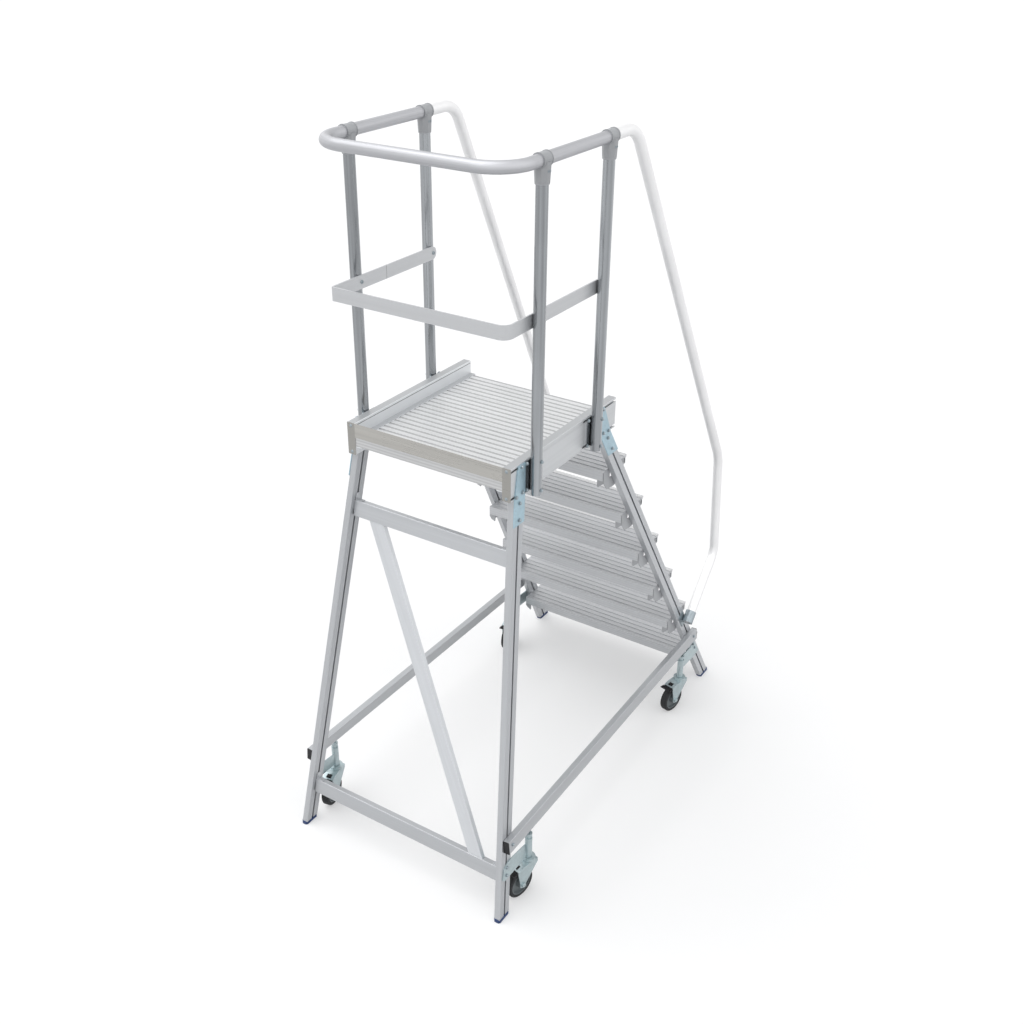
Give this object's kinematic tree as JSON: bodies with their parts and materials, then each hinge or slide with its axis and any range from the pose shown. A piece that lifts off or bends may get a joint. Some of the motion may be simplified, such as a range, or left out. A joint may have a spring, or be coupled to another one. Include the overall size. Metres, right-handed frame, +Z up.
{
  "type": "mobile podium step",
  "caption": "Aluminium stair with ribbed treads up to a railed platform, on splayed legs with rubber feet and sprung braked castors.",
  "frame": {"origin": "middle of the footprint on the floor", "axes": "+Z up, +Y from the foot of the stair to the platform's rear, +X to the left as seen from behind the platform"},
  "size_m": [1.003, 1.884, 2.7269],
  "materials": {
    "satin_aluminium": "satin extruded",
    "ribbed_aluminium": "satin ribbed extrusion",
    "grey_tube": "satin tube",
    "white_tube": "satin near-white",
    "warm_strip": "matte warm grey",
    "cast_fitting": "cast, tumbled",
    "zinc_plate": "zinc plated, pale blue",
    "black_plastic": "matte moulded",
    "foot_rubber": "matte dark navy",
    "tyre_rubber": "matte",
    "hub_plastic": "moulded mid grey"
  },
  "bodies": {
    "frame": {"side_beam_left": "satin_aluminium", "side_beam_right": "satin_aluminium", "slot_covers": "satin_aluminium", "knee_rail": "satin_aluminium", "stile_left": "satin_aluminium", "stile_right": "satin_aluminium", "rear_leg_left": "satin_aluminium", "rear_leg_right": "satin_aluminium", "upper_crossbar": "satin_aluminium", "lower_crossbar": "satin_aluminium", "diagonal_brace": "satin_aluminium", "base_rail_left": "satin_aluminium", "base_rail_right": "satin_aluminium", "deck_planks": "ribbed_aluminium", "tread_1": "ribbed_aluminium", "tread_2": "ribbed_aluminium", "tread_3": "ribbed_aluminium", "tread_4": "ribbed_aluminium", "tread_5": "ribbed_aluminium", "tread_6": "ribbed_aluminium", "post_rear_left": "grey_tube", "post_rear_right": "grey_tube", "post_front_left": "grey_tube", "post_front_right": "grey_tube", "guard_rail": "grey_tube", "handrail_left": "white_tube", "handrail_right": "white_tube", "rear_toe_strip": "warm_strip", "tee_fittings": "cast_fitting", "tread_brackets": "cast_fitting", "handrail_clamps": "zinc_plate", "crossbar_clips": "zinc_plate", "rear_gussets": "zinc_plate", "front_gussets": "zinc_plate", "castor_brackets": "zinc_plate", "frame_bolts": "zinc_plate", "base_rail_caps": "black_plastic", "rubber_feet": "foot_rubber"},
    "sprung_stem_rear_left": {"stem_rear_left": "zinc_plate"},
    "swivel_rear_left": {"fork_rear_left": "zinc_plate"},
    "wheel_rear_left": {"hub_rear_left": "hub_plastic", "tyre_rear_left": "tyre_rubber"},
    "brake_rear_left": {"pedal_rear_left": "black_plastic"},
    "sprung_stem_rear_right": {"stem_rear_right": "zinc_plate"},
    "swivel_rear_right": {"fork_rear_right": "zinc_plate"},
    "wheel_rear_right": {"hub_rear_right": "hub_plastic", "tyre_rear_right": "tyre_rubber"},
    "brake_rear_right": {"pedal_rear_right": "black_plastic"},
    "sprung_stem_front_left": {"stem_front_left": "zinc_plate"},
    "swivel_front_left": {"fork_front_left": "zinc_plate"},
    "wheel_front_left": {"hub_front_left": "hub_plastic", "tyre_front_left": "tyre_rubber"},
    "brake_front_left": {"pedal_front_left": "black_plastic"},
    "sprung_stem_front_right": {"stem_front_right": "zinc_plate"},
    "swivel_front_right": {"fork_front_right": "zinc_plate"},
    "wheel_front_right": {"hub_front_right": "hub_plastic", "tyre_front_right": "tyre_rubber"},
    "brake_front_right": {"pedal_front_right": "black_plastic"}
  },
  "joints": [
    {"name": "spring_rear_left", "type": "slide", "parent": "frame", "child": "sprung_stem_rear_left", "axis": [0, 0, -1], "range_m": [0, 0.01], "stiffness_N_per_m": 1500, "springref_m": 0.03},
    {"name": "swivel_rear_left", "type": "hinge", "parent": "sprung_stem_rear_left", "child": "swivel_rear_left", "pos_m": [0.47193, 0.724, 0.147], "axis": [0, 0, 1], "continuous": true},
    {"name": "roll_rear_left", "type": "hinge", "parent": "swivel_rear_left", "child": "wheel_rear_left", "pos_m": [0.46112, 0.77486, 0.0625], "axis": [0.9781, 0.2079, 0], "continuous": true},
    {"name": "brake_rear_left", "type": "hinge", "parent": "swivel_rear_left", "child": "brake_rear_left", "pos_m": [0.46362, 0.76312, 0.137], "axis": [-0.9781, -0.2079, 0], "range_deg": [0, 12]},
    {"name": "spring_rear_right", "type": "slide", "parent": "frame", "child": "sprung_stem_rear_right", "axis": [0, 0, -1], "range_m": [0, 0.01], "stiffness_N_per_m": 1500, "springref_m": 0.03},
    {"name": "swivel_rear_right", "type": "hinge", "parent": "sprung_stem_rear_right", "child": "swivel_rear_right", "pos_m": [-0.47193, 0.724, 0.147], "axis": [0, 0, 1], "continuous": true},
    {"name": "roll_rear_right", "type": "hinge", "parent": "swivel_rear_right", "child": "wheel_rear_right", "pos_m": [-0.46112, 0.77486, 0.0625], "axis": [0.9781, -0.2079, 0], "continuous": true},
    {"name": "brake_rear_right", "type": "hinge", "parent": "swivel_rear_right", "child": "brake_rear_right", "pos_m": [-0.46362, 0.76312, 0.137], "axis": [-0.9781, 0.2079, 0], "range_deg": [0, 12]},
    {"name": "spring_front_left", "type": "slide", "parent": "frame", "child": "sprung_stem_front_left", "axis": [0, 0, -1], "range_m": [0, 0.01], "stiffness_N_per_m": 1500, "springref_m": 0.03},
    {"name": "swivel_front_left", "type": "hinge", "parent": "sprung_stem_front_left", "child": "swivel_front_left", "pos_m": [0.46103, -0.61619, 0.147], "axis": [0, 0, 1], "continuous": true},
    {"name": "roll_front_left", "type": "hinge", "parent": "swivel_front_left", "child": "wheel_front_left", "pos_m": [0.45022, -0.56533, 0.0625], "axis": [0.9781, 0.2079, 0], "continuous": true},
    {"name": "brake_front_left", "type": "hinge", "parent": "swivel_front_left", "child": "brake_front_left", "pos_m": [0.45272, -0.57707, 0.137], "axis": [-0.9781, -0.2079, 0], "range_deg": [0, 12]},
    {"name": "spring_front_right", "type": "slide", "parent": "frame", "child": "sprung_stem_front_right", "axis": [0, 0, -1], "range_m": [0, 0.01], "stiffness_N_per_m": 1500, "springref_m": 0.03},
    {"name": "swivel_front_right", "type": "hinge", "parent": "sprung_stem_front_right", "child": "swivel_front_right", "pos_m": [-0.46103, -0.61619, 0.147], "axis": [0, 0, 1], "continuous": true},
    {"name": "roll_front_right", "type": "hinge", "parent": "swivel_front_right", "child": "wheel_front_right", "pos_m": [-0.45022, -0.56533, 0.0625], "axis": [0.9781, -0.2079, 0], "continuous": true},
    {"name": "brake_front_right", "type": "hinge", "parent": "swivel_front_right", "child": "brake_front_right", "pos_m": [-0.45272, -0.57707, 0.137], "axis": [-0.9781, 0.2079, 0], "range_deg": [0, 12]}
  ]
}
